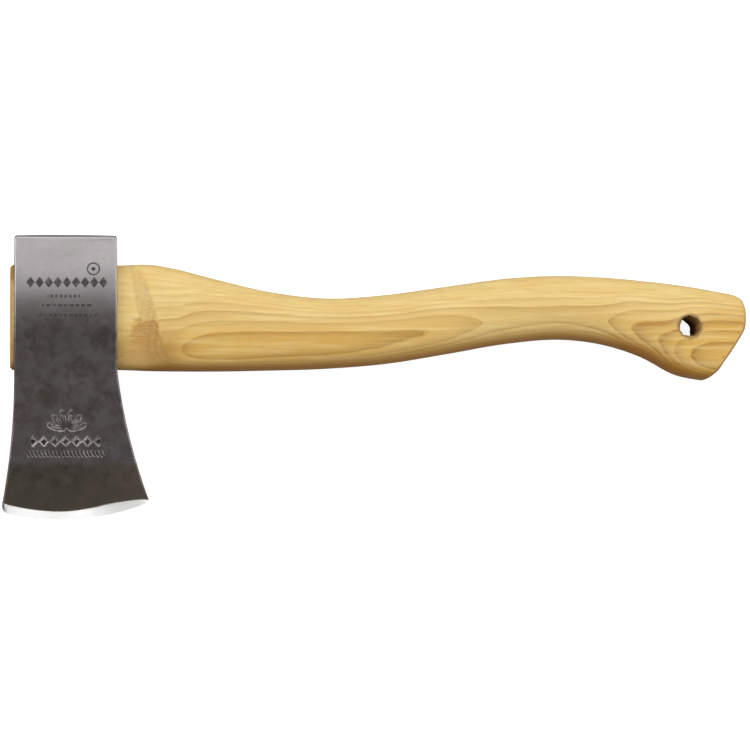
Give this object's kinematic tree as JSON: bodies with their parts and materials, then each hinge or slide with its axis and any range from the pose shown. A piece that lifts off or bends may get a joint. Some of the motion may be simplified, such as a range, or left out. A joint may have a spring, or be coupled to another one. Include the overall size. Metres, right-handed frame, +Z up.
{
  "type": "carving hatchet",
  "caption": "One-hand carving hatchet: a short forged steel head with a curved edge on a bent wooden haft that ends in a drilled knob.",
  "frame": {"origin": "bottom centre of the hatchet's box, as it lies on its side on a bench", "axes": "+X from the head to the knob, +Y from the cutting edge to the poll, +Z up, square to the cheeks"},
  "size_m": [0.3782, 0.1416, 0.0259],
  "materials": {
    "forged_steel": "bead-blasted forging with a ground, honed edge",
    "haft_wood": "oiled pale ash",
    "wedge_wood": "oiled dark hardwood",
    "ring_steel": "plain turned steel"
  },
  "bodies": {
    "root": {"axe_head": "forged_steel", "handle": "haft_wood", "wood_wedge": "wedge_wood", "steel_wedge": "ring_steel"}
  },
  "joints": []
}
